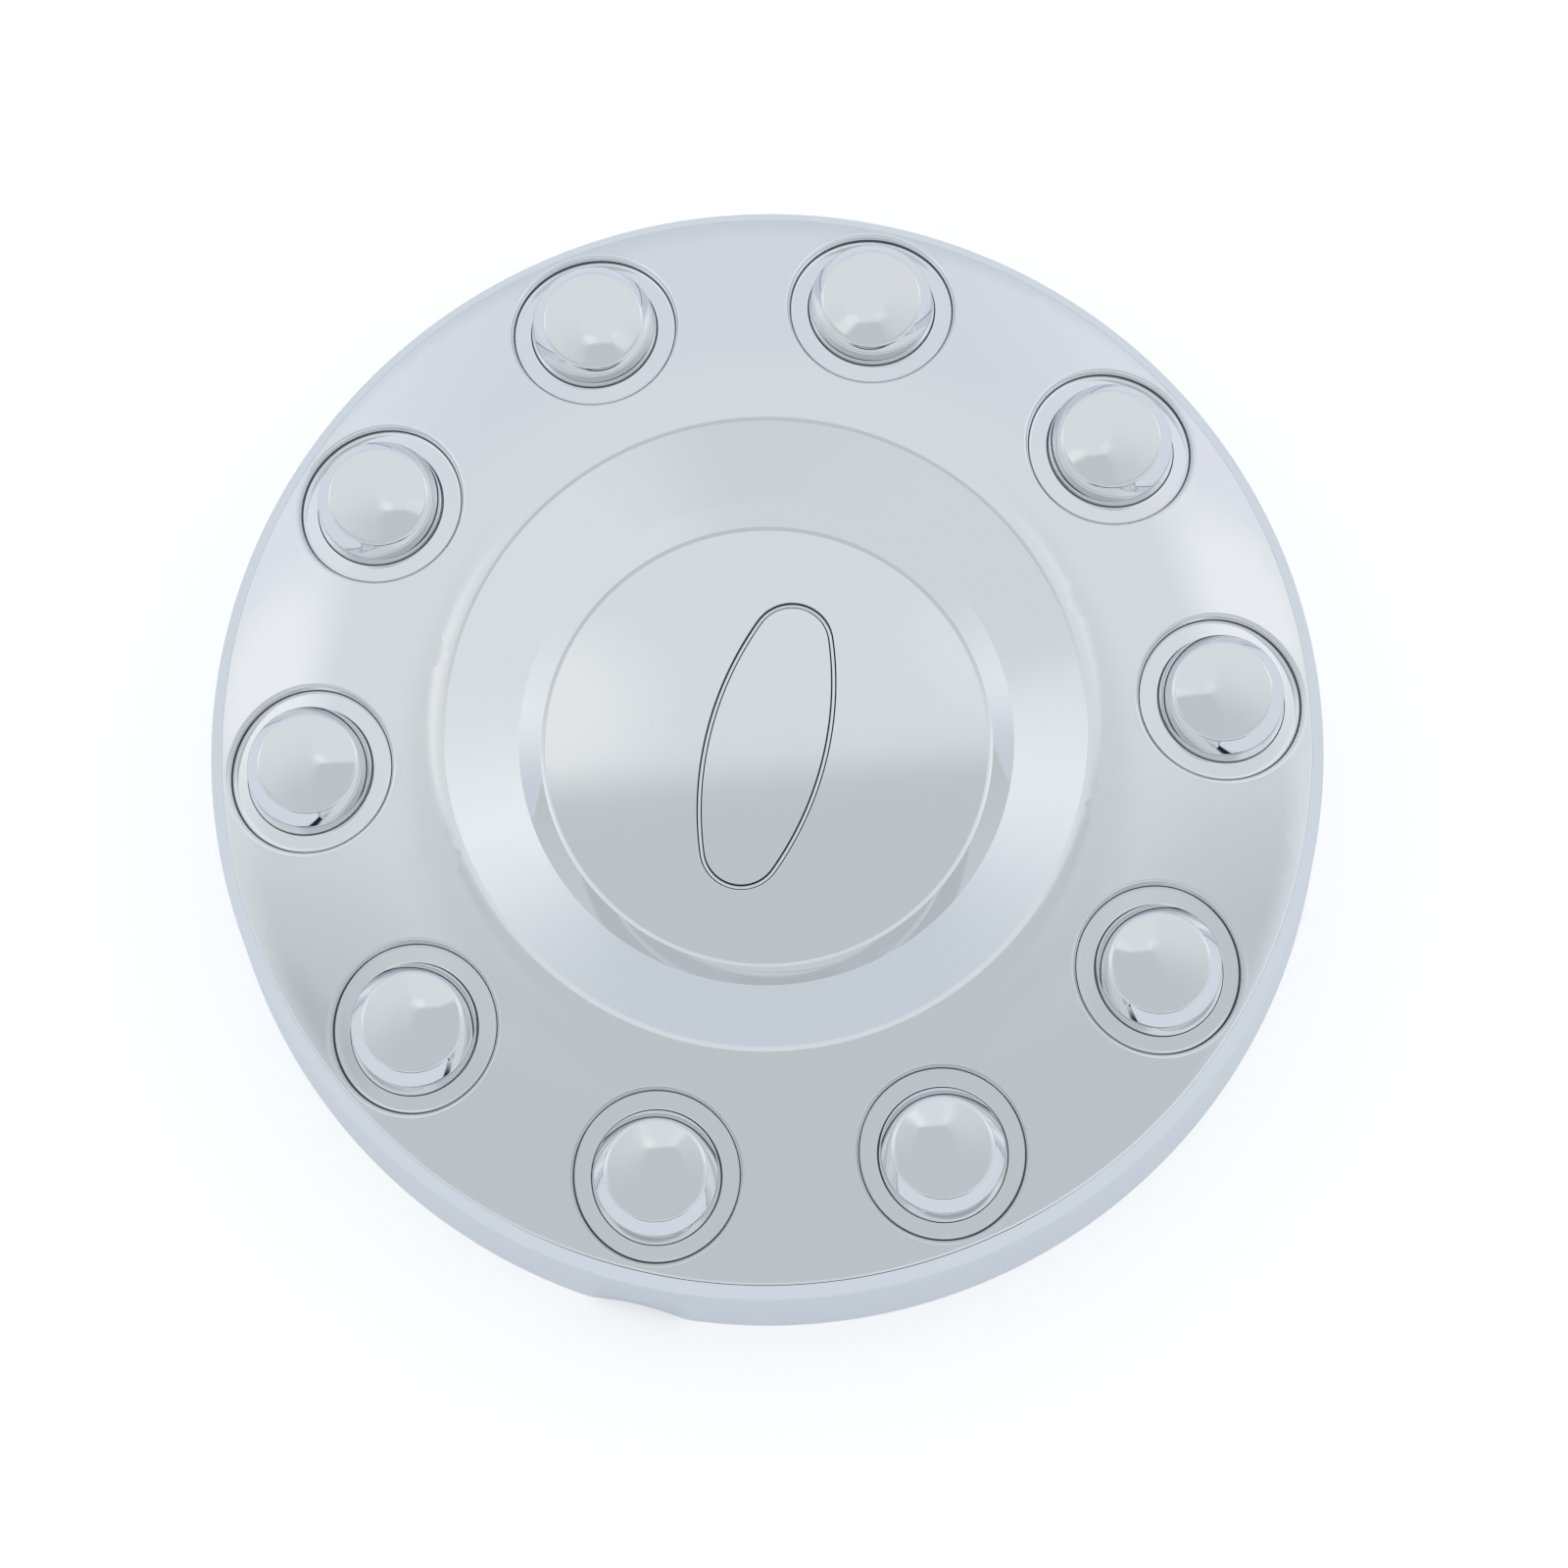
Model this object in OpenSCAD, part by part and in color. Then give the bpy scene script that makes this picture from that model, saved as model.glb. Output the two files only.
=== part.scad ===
// Chrome-plated wheel centre cap, moulded in one piece with ten lug-nut covers.
// +Z points out of the wheel, towards the face; the back rim lies on z = 0.

/* [Lug circle] */
// Bolt circle diameter of the wheel
lug_pcd = 225; // [205:1:235]
// Number of lug nuts
lug_count = 10; // [6:1:10]

/* [Rim and skirt] */
// Radius of the edge where the domed flange meets the rim
rim_r = 135.2; // [135:0.1:145]
// Height of that edge above the back rim
rim_z = 45; // [38:1:60]
// How far the rim's bevel reaches out
bevel_w = 3.1; // [1.5:0.1:5]
// How far the rim's bevel reaches down
bevel_h = 4.8; // [3:0.1:8]
// How far the skirt spreads from the bevel to the back rim
skirt_draft = 1.7; // [0.5:0.1:4]
// Wall thickness of the whole moulding
wall = 3; // [2:0.1:3.6]

/* [Domed flange] */
// Radius of the dome's section
dome_r = 97; // [85:0.5:140]
// Radius of the crest, the highest circle of the face
crest_r = 84; // [80:0.5:87]
// Radius of the edge where the dome meets the dish round the hub
brow_r = 77.5; // [74:0.5:79]

/* [Hub] */
// Radius of the flat hub disc
disc_r = 55.8; // [45:0.1:57]
// Depth of the hub disc below the rim's edge
disc_drop = 4.7; // [3:0.1:12]
// Width of the sloping ring round the hub disc
ring_w = 5.6; // [3:0.1:8]
// Rise of that ring
ring_h = 3.4; // [1.5:0.1:5]

/* [Oval groove] */
// Length of the oval between the middles of its groove
oval_l = 73.2; // [50:0.1:90]
// Width of the oval between the middles of its groove
oval_w = 29.6; // [24:0.1:40]
// Radius of the oval's ends
oval_end_r = 9.8; // [6:0.1:11]
// Width of the groove
groove_w = 1.3; // [0.8:0.1:2.5]
// Depth of the groove
groove_d = 0.8; // [0.3:0.1:1.2]

/* [Lug pockets] */
// Radius of each round pocket
pocket_r = 20.9; // [19:0.1:22.5]
// Depth of each pocket below the dome
pocket_d = 2.9; // [1.5:0.1:4]

/* [Lug covers] */
// Radius of a cover at its foot
cover_foot_r = 16.2; // [15.8:0.1:18]
// Radius of a cover at its shoulder
cover_shoulder_r = 15.3; // [15:0.1:15.7]
// Radius of a cover's crown
crown_r = 12.3; // [9:0.1:13.5]
// Height of the crown's edge above the rim's edge
crown_rise = 16.3; // [14:0.1:20]
// Height of the tapered band between shoulder and crown
taper_h = 4.8; // [2:0.1:6]
// Radius of the sphere that the crown is part of
crown_ball_r = 160; // [60:1:400]
// Rounding of the crown's edge
crown_round = 1.4; // [0.4:0.1:2.5]
// Rounding of the shoulder
shoulder_round = 2.5; // [0.4:0.1:5]

/* [Nut sockets] */
// Nut size across its corners
nut_corners = 24.25; // [22:0.05:25.2]
// Clearance between a nut's corners and its socket
nut_clearance = 0.15; // [0.05:0.05:0.5]
// Height of a socket's open end above the back rim
socket_z = 24; // [10:1:30]
// Width of the slits between a socket's fingers
slit_w = 3; // [1.5:0.1:5]
// Length of the slits
slit_l = 12; // [5:0.5:14]
// How much thinner a socket's wall is at its open end
socket_taper = 0.4; // [0:0.1:0.8]

/* [Prising notch] */
// Width of the notch in the back rim
notch_w = 22; // [12:1:30]
// Height of the notch
notch_h = 3.6; // [2:0.1:6]
// Height of the finger hollow over the notch
hollow_h = 19; // [10:1:28]
// Radius of the finger hollow's section
hollow_r = 70; // [55:1:100]

/* [Hidden] */
$fn = 96;
OVER = 1;
SLIT_A = 45;
// Steps in a small rounding of a section, and in each of the oval's four arcs
ARC_STEPS = 5;
OVAL_STEPS = 18;

step_a = 360 / lug_count;
lug_r = lug_pcd / 2;
crest_z = rim_z + dome_r - sqrt(pow(dome_r, 2) - pow(rim_r - crest_r, 2));
disc_z = rim_z - disc_drop;
shoulder_r = rim_r + bevel_w;
shoulder_z = rim_z - bevel_h;
base_r = shoulder_r + skirt_draft;
crown_z = rim_z + crown_rise;
socket_r = (nut_corners + nut_clearance) / 2;
top_z = crown_z + 20;

// Corners of the face's section, from the hub disc to the back rim
disc_edge = [disc_r, disc_z];
ring_edge = [disc_r + ring_w, disc_z + ring_h];
dome_centre = [crest_r, crest_z - dome_r];
brow = dome_centre + [brow_r - crest_r, sqrt(pow(dome_r, 2) - pow(crest_r - brow_r, 2))];
rim_edge = [rim_r, rim_z];
shoulder = [shoulder_r, shoulder_z];
base = [base_r, 0];

// Corners of a lug cover's section and the centre of its crown's sphere
cover_foot = [cover_foot_r, shoulder_z + 1.5 * wall];
cover_shoulder = [cover_shoulder_r, crown_z - taper_h];
crown_edge = [crown_r, crown_z];
crown_ball = [0, crown_z - sqrt(pow(crown_ball_r, 2) - pow(crown_r, 2))];

function unit(v) = v / norm(v);
// Right-hand side of a direction, where the material lies on a line drawn outwards
function side(d) = [d[1], -d[0]];
// Corner moved in by t from both lines that meet there
function inset(corner, dir_in, dir_out, t) =
    let (a = side(dir_in), b = side(dir_out))
    corner + t * (a + b) / (1 + a * b);
function at(r, a) = [r * cos(a), r * sin(a)];
// Short arc about c from point p to point q
function arc(c, p, q) =
    let (a = atan2(p[1] - c[1], p[0] - c[0]), b = atan2(q[1] - c[1], q[0] - c[0]))
    [for (i = [0 : ARC_STEPS]) c + at(norm(p - c), a + (b - a) * i / ARC_STEPS)];

ring_dir = unit(ring_edge - disc_edge);
dish_dir = unit(brow - ring_edge);
bevel_dir = unit(shoulder - rim_edge);
skirt_dir = unit(base - shoulder);

// Everything under the dome at depth t, from the hub disc out to the radius r_end
module dome_section(t, r_end, z_low) {
    intersection() {
        translate(dome_centre) circle(r = dome_r - t);
        translate([disc_r, z_low]) square([r_end - disc_r, top_z - z_low]);
    }
}

// Region that the skirt and the bevel enclose at depth t
module rim_section(t, z_low) {
    corner = inset(shoulder, bevel_dir, skirt_dir, t);
    foot = corner + skirt_dir * (corner[1] - z_low) / -skirt_dir[1];
    peak = corner - bevel_dir * (top_z - corner[1]) / -bevel_dir[1];
    polygon([[0, z_low], foot, corner, peak, [0, top_z]]);
}

// Region below the hub disc, the ring and the dish at depth t
module hub_section(t, z_low) {
    foot = inset(ring_edge, ring_dir, dish_dir, t);
    peak = foot + dish_dir * (top_z - foot[1]) / dish_dir[1];
    r_end = base_r + OVER;
    polygon([[0, z_low], [r_end, z_low], [r_end, top_z], peak, foot,
             inset(disc_edge, [1, 0], ring_dir, t), [0, disc_z - t]]);
}

// Half section of the face at depth t below its surface
module face_section(t, z_low) {
    intersection() {
        union() {
            dome_section(t, base_r + OVER, z_low);
            translate([0, z_low]) square([disc_r + OVER, disc_z + OVER - z_low]);
        }
        hub_section(t, z_low);
        rim_section(t, z_low);
    }
}

module at_lugs() {
    for (i = [0 : lug_count - 1]) rotate(i * step_a) translate([lug_r, 0]) children();
}

// Round columns over the lugs, above the surface at depth t
module columns(r, t) {
    difference() {
        at_lugs() cylinder(r = r, h = top_z);
        rotate_extrude() dome_section(t, base_r + r, -OVER);
    }
}

// Face and skirt as a solid body with the pockets sunk into it
module outer_form() {
    difference() {
        rotate_extrude() face_section(0, 0);
        columns(pocket_r, pocket_d);
    }
}

// Hollow behind the face, held clear of the pockets' floors
module inner_form() {
    difference() {
        rotate_extrude() face_section(wall, -OVER);
        columns(pocket_r + wall, pocket_d + wall);
    }
}

// Rounding at the cover's shoulder, between its side and its taper
function shoulder_arc() =
    let (bisector = unit(unit(cover_foot - cover_shoulder) + unit(crown_edge - cover_shoulder)),
         half = acos(unit(crown_edge - cover_shoulder) * bisector),
         c = cover_shoulder + bisector * shoulder_round / sin(half),
         back = shoulder_round / tan(half))
    arc(c, cover_shoulder + back * unit(cover_foot - cover_shoulder),
        cover_shoulder + back * unit(crown_edge - cover_shoulder));

// Rounding that touches the cover's taper and the sphere of its crown
function crown_arc() =
    let (d = unit(crown_edge - cover_shoulder), n = [-d[1], d[0]],
         w = cover_shoulder + crown_round * n - crown_ball,
         reach = crown_ball_r - crown_round,
         c = crown_ball + w + d * (sqrt(pow(w * d, 2) - w * w + pow(reach, 2)) - w * d))
    arc(c, c - crown_round * n, crown_ball + (c - crown_ball) * crown_ball_r / reach);

// Lug cover and the nut socket behind it, on one axis
module cover() {
    crown_start = crown_arc()[ARC_STEPS];
    rotate_extrude() intersection() {
        polygon(concat([[0, socket_z], [cover_shoulder_r - socket_taper, socket_z],
                        [cover_shoulder_r, shoulder_z + wall], cover_foot],
                       shoulder_arc(), crown_arc(),
                       [[crown_start[0], top_z], [0, top_z]]));
        translate(crown_ball) circle(r = crown_ball_r);
    }
}

// Nut's room inside the socket and the cover, with the slits that free its fingers
module socket() {
    neck_z = crown_z - taper_h - wall / 2;
    translate([0, 0, socket_z - OVER]) cylinder(r = socket_r, h = neck_z - socket_z + OVER);
    translate([0, 0, neck_z])
        cylinder(r1 = socket_r, r2 = crown_r - wall, h = crown_z - wall - neck_z);
    for (a = [SLIT_A, SLIT_A + 90]) rotate(a)
        translate([-cover_foot_r, -slit_w / 2, socket_z - OVER])
            cube([2 * cover_foot_r, slit_w, slit_l + OVER]);
}

// Oval of four arcs that touch each other: two ends and two long sides
module oval(grow) {
    end_x = oval_l / 2 - oval_end_r;
    half_w = oval_w / 2;
    side_r = (pow(half_w, 2) + pow(end_x, 2) - pow(oval_end_r, 2)) / (2 * (half_w - oval_end_r));
    touch_a = atan2(side_r - half_w, end_x);
    half = [for (i = [0 : 2 * OVAL_STEPS - 1])
        let (k = i / OVAL_STEPS)
        i < OVAL_STEPS ? [end_x, 0] + at(oval_end_r + grow, touch_a * (2 * k - 1))
                       : [0, half_w - side_r]
                         + at(side_r + grow, touch_a + (180 - 2 * touch_a) * (k - 1))];
    polygon(concat(half, -half));
}

module groove() {
    translate([0, 0, disc_z - groove_d]) linear_extrude(groove_d + OVER) difference() {
        oval(groove_w / 2);
        oval(-groove_w / 2);
    }
}

// Notch in the back rim and the finger hollow that runs up the skirt from it
module prising_notch() {
    hollow_d = pow(notch_w, 2) / 8 * (1 / hollow_r + 1 / base_r);
    rotate(180) translate([base_r, 0]) {
        translate([-2 * wall, -notch_w / 2, -OVER]) cube([3 * wall, notch_w, notch_h + OVER]);
        translate([hollow_r - hollow_d, 0, 0]) rotate([0, atan(hollow_d / hollow_h), 0])
            translate([0, 0, -2 * OVER]) cylinder(r = hollow_r, h = 1.5 * hollow_h);
    }
}

module center_cap() {
    color("gainsboro") difference() {
        union() {
            difference() {
                outer_form();
                inner_form();
            }
            at_lugs() cover();
        }
        at_lugs() socket();
        groove();
        prising_notch();
    }
}

center_cap();
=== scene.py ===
from math import acos, asin, atan2, cos, hypot, pi, radians, sin, sqrt, tan

import bmesh
import bpy
import numpy as np
from mathutils import Matrix, Vector


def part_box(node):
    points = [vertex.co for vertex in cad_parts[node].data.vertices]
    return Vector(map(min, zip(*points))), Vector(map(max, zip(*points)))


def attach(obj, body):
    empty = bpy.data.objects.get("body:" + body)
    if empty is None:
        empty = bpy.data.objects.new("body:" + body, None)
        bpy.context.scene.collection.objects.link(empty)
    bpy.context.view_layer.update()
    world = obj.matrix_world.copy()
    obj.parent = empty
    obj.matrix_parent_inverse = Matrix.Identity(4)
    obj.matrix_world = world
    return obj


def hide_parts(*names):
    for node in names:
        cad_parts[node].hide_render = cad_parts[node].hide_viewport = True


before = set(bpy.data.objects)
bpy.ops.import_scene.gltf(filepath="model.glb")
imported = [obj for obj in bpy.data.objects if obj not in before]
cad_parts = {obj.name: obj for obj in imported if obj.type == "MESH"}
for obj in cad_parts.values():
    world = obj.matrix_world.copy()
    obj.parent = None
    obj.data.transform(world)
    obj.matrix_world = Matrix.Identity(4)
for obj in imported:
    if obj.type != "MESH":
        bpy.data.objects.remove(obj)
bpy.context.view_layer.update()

# Sizes of the cap in millimetres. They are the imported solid's, but the dome, the brow, the disc's
# drop and the ring's height are fitted to the photo more closely.
MM = 0.001
LUGS = 10
LUG_R = 112.5
RIM_R, RIM_Z = 135.2, 45.0
BEVEL_W, BEVEL_H = 3.1, 4.8
BASE_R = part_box("center_cap")[1].x / MM
WALL = 3.0
DOME_R, CREST_R, BROW_R = 107.0, 83.0, 79.0
DISC_R, DISC_DROP = 55.8, 5.0
RING_W, RING_H = 5.6, 5.0
OVAL_L, OVAL_W, OVAL_END_R = 73.2, 29.6, 9.8
GROOVE_W, GROOVE_D = 1.3, 0.8
POCKET_R, POCKET_D = 20.9, 2.9
FOOT_R, SHOULDER_R, CROWN_R = 16.2, 15.3, 12.3
CROWN_H, TAPER_H, CROWN_BALL_R = 16.3, 4.8, 160.0
FOOT_LIFT = 1.5 * WALL
SOCKET_R, SOCKET_Z, SOCKET_TAPER = 12.2, 24.0, 0.4
SLIT_W, SLIT_L = 3.0, 12.0
NOTCH_W, NOTCH_H = 22.0, 3.6
HOLLOW_H, HOLLOW_R = 19.0, 70.0

# Places round the cap's axis and round a socket's
STEP_A = 2 * pi / LUGS
NOTCH_A = pi
SLIT_ANGLES = [radians(a) for a in (45, 135, 225, 315)]

# Small roundings that the moulding has on its edges
CROWN_ROUND, SHOULDER_ROUND, FOOT_ROUND = 1.4, 2.5, 0.6
FLOOR_ROUND, LIP_ROUND, POCKET_DRAFT = 0.9, 0.9, 0.6
RIM_ROUND, BEVEL_ROUND, BACK_ROUND = 2.6, 2.5, 0.4
RING_ROUND, DISC_ROUND, BROW_ROUND, LIP_BLEND = 0.35, 1.6, 1.4, 0.3
ROOT_ROUND, ROOT_MID, HOLLOW_ROUND = 0.7, 0.2, 0.25

# Half of the oval groove's section, as shares of its half width and of its depth,
# and the rows of the whole section that lie on its two walls, which are painted dark as shade
GROOVE_HALF = [(1.0, 0), (0.92, 0.025), (0.85, 0.1), (0.78, 0.25),
               (0.62, 0.7), (0.52, 0.88), (0.4, 0.97), (0, 1.0)]
GROOVE_WALLS = (2, 3, 4, 5, 8, 9, 10, 11)

# A cover's side that is lower than SIDE_MIN gives way to the taper above it, whose rows then lie
# TAPER_SPAN up from the foot. Else the shoulder's rounding is at most SHOULDER_FIT times the side.
SIDE_MIN, SHOULDER_FIT = 1.6, 2.0
TAPER_SPAN = (2.2, 1.4)

# Width of the narrow faces that keep the shading of a flat face apart from its rounded edge,
# and the angle of the narrow columns that do the same beside a sector's corners
HEM, HEM_A = 0.05, 0.002
# How far the lug sectors end from the brow's and the rim's roundings, on plain dome
BROW_GAP, RIM_GAP = 0.6, 0.15

# Columns of the mesh round one lug: along the rim, one side and the crest
RIM_COLS, SIDE_COLS, CREST_COLS = 36, 22, 24
# Rows of the mesh over a crown, a pocket's floor and the dome beside it
CROWN_ROWS, FLOOR_ROWS, DOME_ROWS = 4, 4, 8
# Rows of the roundings at a cover's foot and at a pocket's inner corner that are painted dark as shade
FOOT_SHADE, CORNER_SHADE = (1, 2), (3, 4, 5)
# Shares of the way from the disc's edge to its groove, from the groove to the middle, and under the disc
DISC_SHARES = (0, 0.15, 0.32, 0.5, 0.68, 0.85, 1)
MIDDLE_SHARES = (0, 0.25, 0.5, 0.75, 1)
UNDER_SHARES = (1.0, 0.66, 0.33, 0.0)
# Rows of a slit's sides, and the height over the socket's end where it grows out of the cap's back
SLIT_ROWS, ROOT_H = 4, 20.0
# Heights between which the skirt's rows lie, above and beside the finger hollow, and inside,
# and how much of the way down from the sectors' edge the first row under it goes
SKIRT_UPPER, SKIRT_LOWER, SKIRT_UPPER_ROWS, SKIRT_LOWER_ROWS = 24.0, 22.0, 4, 10
INSIDE_Z, INSIDE_BEND = (12.0, 24.0, 33.0), 0.3
# The finger hollow is cut only this far round from the notch, and up to this share of its height
HOLLOW_REACH, HOLLOW_TOP = 0.5, 1.2
# Passes in which two lines of the section are brought to their crossing
FIT_PASSES, MEET_PASSES = 8, 40
# Points closer than MERGE metres become one, and edges shorter than TINY metres go.
# Radii that differ by less than SAME millimetres are the same.
MERGE, TINY, SAME = 2e-6, 1e-7, 1e-6
SHARP_A = radians(35)

# Numbers of the cap's materials, and each one's name, tint, roughness and scale of unevenness. The third is
# no plating of its own but a dark tint that paints shade into narrow strips: the pockets' inner corners,
# the covers' feet and the groove's walls.
FACE, BACK, PAINTED_SHADE = 0, 1, 2
PLATING = [("chrome_face", (0.86, 0.87, 0.885), 0.03, 60.0),
           ("chrome_back", (0.62, 0.63, 0.645), 0.22, 90.0),
           ("chrome_painted_shade", (0.11, 0.125, 0.14), 0.12, 90.0)]
UNEVEN_LOW, UNEVEN_HIGH, UNEVEN_DETAIL = 0.6, 1.4, 3.0

# Camera at the photo's angle: its place in metres, its lens in millimetres.
# VIEW_UP_A is the direction on the cap that points to the picture's top.
CAM_AZIMUTH, CAM_ELEVATION, CAM_ROLL = radians(197.19), radians(77.84), radians(-3.72)
CAM_DISTANCE, CAM_LENS, CAM_SENSOR = 1.3583, 126.08, 36.0
CAM_AIM = Vector((-0.00954, -0.00682, 0.045))
CAM_NEAR, CAM_FAR = 0.05, 50.0
VIEW_UP_A = radians(17.9)

# Studio floor: its width, the distances over which it turns dark in the plating, and its light
FLOOR_W, FLOOR_EDGE, FLOOR_ROUGH = 12.0, (0.8, 2.0), 0.9
FLOOR_COLOUR, FLOOR_FAR = (0.9, 0.9, 0.9), (0.3, 0.33, 0.37)
FLOOR_GLOW, FLOOR_LIFT = (0.10, 0.12, 0.16), (0.42, 0.42, 0.42)
BLACK, WHITE = (0.0, 0.0, 0.0), (1.0, 1.0, 1.0)

# Light of the tent's parts
SKY_NEAR, SKY_BACK, SKY_SIDE = (0.757, 0.798, 0.817), (0.725, 0.757, 0.834), (0.815, 0.85, 0.91)
PANEL, GLINT_LEFT, GLINT_RIGHT = (0.935, 0.96, 0.985), (0.875, 0.90, 0.91), (0.81, 0.845, 0.86)
FRONT, FRONT_SIDE, FRONT_DARK = (0.58, 0.616, 0.64), (0.645, 0.68, 0.69), (0.50, 0.54, 0.57)
LOW_FRONT, LOW_FRONT_RIGHT = (0.715, 0.745, 0.765), (0.78, 0.82, 0.85)
LOW_SIDE, LOW_SIDE_RIGHT = (0.89, 0.93, 0.965), (0.92, 0.955, 0.98)
LOW_BACK, GAP_DARK = (0.642, 0.694, 0.751), (0.015, 0.02, 0.025)

# Places (u, v) of the tent's soft patches and their radii, in the degrees that class Tent measures
PANEL_LEFT_AT, PANEL_RIGHT_AT, PANEL_RADII = (-49, 24), (49, 24), (23, 16)
GLINT_LEFT_AT, GLINT_LEFT_RADII = (-2.6, 13.1), (2.0, 1.4)
GLINT_RIGHT_AT, GLINT_RIGHT_RADII = (2.9, 13.5), (1.8, 1.3)
DARK_AT, DARK_RADII = (-56, -16), (15, 13)
PATCH_CORE = 0.3

# Degrees over which one part of the tent turns into the next: the near sky into the far one and
# its middle into its sides, the front's middle into its sides, the left into the right, and both
# sky and front into the low light, down to the gap at the floor
SKY_RISE, SKY_SPREAD = (22, 40), (8, 55)
FRONT_RISE, FRONT_SPREAD = (-10, 4), (6, 22)
TO_RIGHT = (0, 35)
FRONT_DOWN, TENT_DOWN, BACK_DOWN, GAP_DOWN = (53, 62), (68, 76), (78, 83), (80.0, 84.0)
# Where the front meets the sky straight ahead and at the sides, how softly, and over which degrees
HORIZON_V, HORIZON_SOFT = (12.3, 7.0), (0.3, 7.0)
HORIZON_SPREAD, HORIZON_BLUR = (3, 18), (2.2, 5)
# Bearings over which the low light turns from front to side and to back, and the gap comes in
SIDE_TURN, BACK_TURN, GAP_TURN = (-0.5, 0.2), (0.45, 0.95), (-0.75, -0.93)
LEVEL_MIN = 1e-6


def unit(v):
    return v / np.linalg.norm(v)


def point(*v):
    return np.array(v, float)


def inset(corner, dir_in, dir_out, depth):
    """Corner moved into the material by depth from both lines that meet there."""
    a, b = point(dir_in[1], -dir_in[0]), point(dir_out[1], -dir_out[0])
    return corner + depth * (a + b) / (1 + a @ b)


# Heights and radii that follow from the sizes
crest_z = RIM_Z + DOME_R - sqrt(DOME_R**2 - (RIM_R - CREST_R) ** 2)
disc_z = RIM_Z - DISC_DROP
bevel_r, bevel_z = RIM_R + BEVEL_W, RIM_Z - BEVEL_H
crown_z = RIM_Z + CROWN_H
crown_ball_z = crown_z - sqrt(CROWN_BALL_R**2 - CROWN_R**2)
hollow_d = NOTCH_W**2 / 8 * (1 / HOLLOW_R + 1 / BASE_R)
pad_r = POCKET_R + WALL


def dome_z(rho, depth=0.0):
    """Height of the dome at a radius of the cap, moved into the material by depth."""
    return crest_z - DOME_R + np.sqrt((DOME_R - depth) ** 2 - (rho - CREST_R) ** 2)


# Section of the cap as corners and directions
dome_centre = point(CREST_R, crest_z - DOME_R)
disc_edge, ring_edge = point(DISC_R, disc_z), point(DISC_R + RING_W, disc_z + RING_H)
brow = point(BROW_R, dome_z(BROW_R))
dish_dir, ring_dir = unit(brow - ring_edge), unit(ring_edge - disc_edge)
rim_edge, bevel_edge, base_edge = point(RIM_R, RIM_Z), point(bevel_r, bevel_z), point(BASE_R, 0)
bevel_dir, skirt_dir = unit(bevel_edge - rim_edge), unit(base_edge - bevel_edge)
back_corner = inset(bevel_edge, bevel_dir, skirt_dir, WALL)
crown_edge, cover_shoulder = point(CROWN_R, crown_z), point(SHOULDER_R, crown_z - TAPER_H)
cover_foot = point(FOOT_R, bevel_z + FOOT_LIFT)


def rounded(before, corner, after, radius, steps):
    """Points of a circular rounding at a corner, from the side of before to the side of after."""
    a, b = unit(before - corner), unit(after - corner)
    half = acos(np.clip(a @ b, -1, 1)) / 2
    back, weight = radius / tan(half), sin(half)
    t = np.linspace(0, 1, steps + 1)[:, None]
    low, mid, high = (1 - t) ** 2, 2 * weight * t * (1 - t), t**2
    return (low * (corner + a * back) + mid * corner + high * (corner + b * back)) / (low + mid + high)


def on_dome(corner, line, depth, way):
    """Where the dome meets a straight line of the section, both moved into the material by depth."""
    foot = inset(corner, line, line, depth)
    w = foot - dome_centre
    ahead = w @ line
    return foot + line * (way * sqrt(ahead**2 - w @ w + (DOME_R - depth) ** 2) - ahead)


def dome_turn(corner, line, radius, way, steps):
    """Rounding between the dome and a straight line of the section, from the dome's side."""
    centre = on_dome(corner, line, radius, way)
    from_dome = centre - dome_centre
    angles = np.linspace(atan2(from_dome[1], from_dome[0]), atan2(line[0], -line[1]), steps + 1)
    return [centre + radius * point(cos(a), sin(a)) for a in angles]


brow_turn = dome_turn(ring_edge, dish_dir, BROW_ROUND, 1, steps=10)
rim_turn = dome_turn(rim_edge, bevel_dir, RIM_ROUND, -1, steps=6)
sector_in, sector_out = brow_turn[0][0] + BROW_GAP, rim_turn[0][0] - RIM_GAP


def spin(points, angle):
    """Points turned about the cap's axis."""
    c, s = cos(angle), sin(angle)
    return points @ np.array([[c, s, 0], [-s, c, 0], [0, 0, 1]])


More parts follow.
